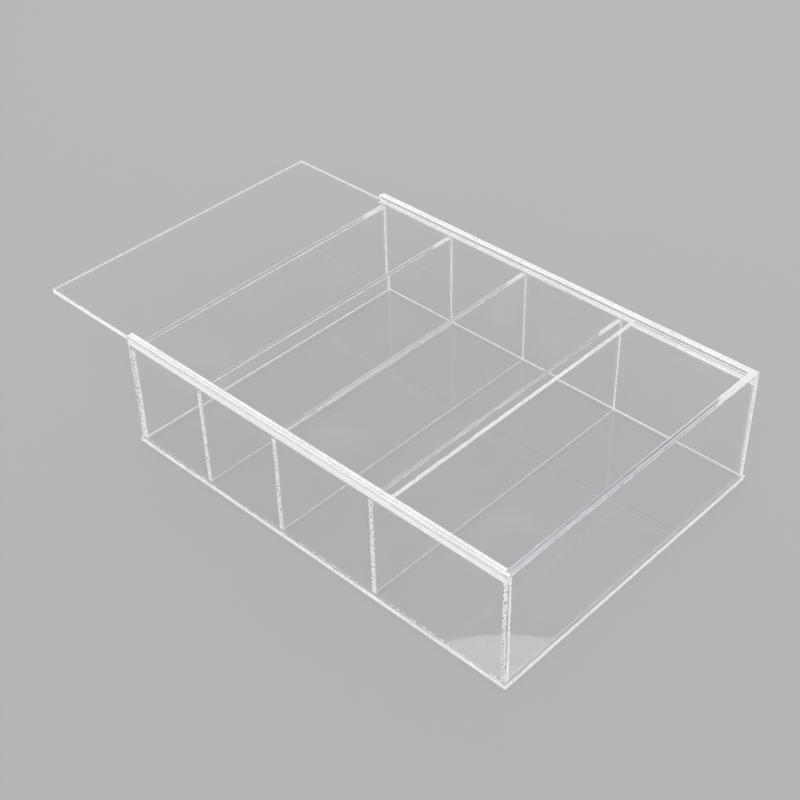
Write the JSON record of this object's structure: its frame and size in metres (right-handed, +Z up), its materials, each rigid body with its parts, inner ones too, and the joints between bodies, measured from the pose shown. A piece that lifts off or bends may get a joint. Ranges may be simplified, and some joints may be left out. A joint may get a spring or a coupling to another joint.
{
  "type": "sliding lid compartment box",
  "caption": "Clear acrylic tabletop box, divided across into compartments of unequal length, with a flat lid that slides off one low end in grooves.",
  "frame": {"origin": "centre of the base panel's underside, on the surface that the box stands on", "axes": "+X along the box from the low end wall, where the lid comes out, to the tall end wall that stops it; +Y across the box to the far long wall; +Z up"},
  "size_m": [0.3416, 0.2016, 0.074],
  "materials": {
    "base_acrylic": "polished",
    "long_wall_acrylic": "polished",
    "end_wall_acrylic": "polished",
    "divider_acrylic": "polished",
    "rail_acrylic": "satin",
    "lid_acrylic": "polished"
  },
  "bodies": {
    "box": {"base_panel": "base_acrylic", "near_long_wall": "long_wall_acrylic", "far_long_wall": "long_wall_acrylic", "low_end_wall": "end_wall_acrylic", "tall_end_wall": "end_wall_acrylic", "divider_1": "divider_acrylic", "divider_2": "divider_acrylic", "divider_3": "divider_acrylic", "near_upper_rail": "rail_acrylic", "far_upper_rail": "rail_acrylic", "near_lower_rail": "rail_acrylic", "far_lower_rail": "rail_acrylic"},
    "lid": {"sliding_lid": "lid_acrylic"}
  },
  "joints": [
    {"name": "lid_slide", "type": "slide", "parent": "box", "child": "lid", "axis": [1, 0, 0], "range_m": [-0.2, 0.0735]}
  ]
}
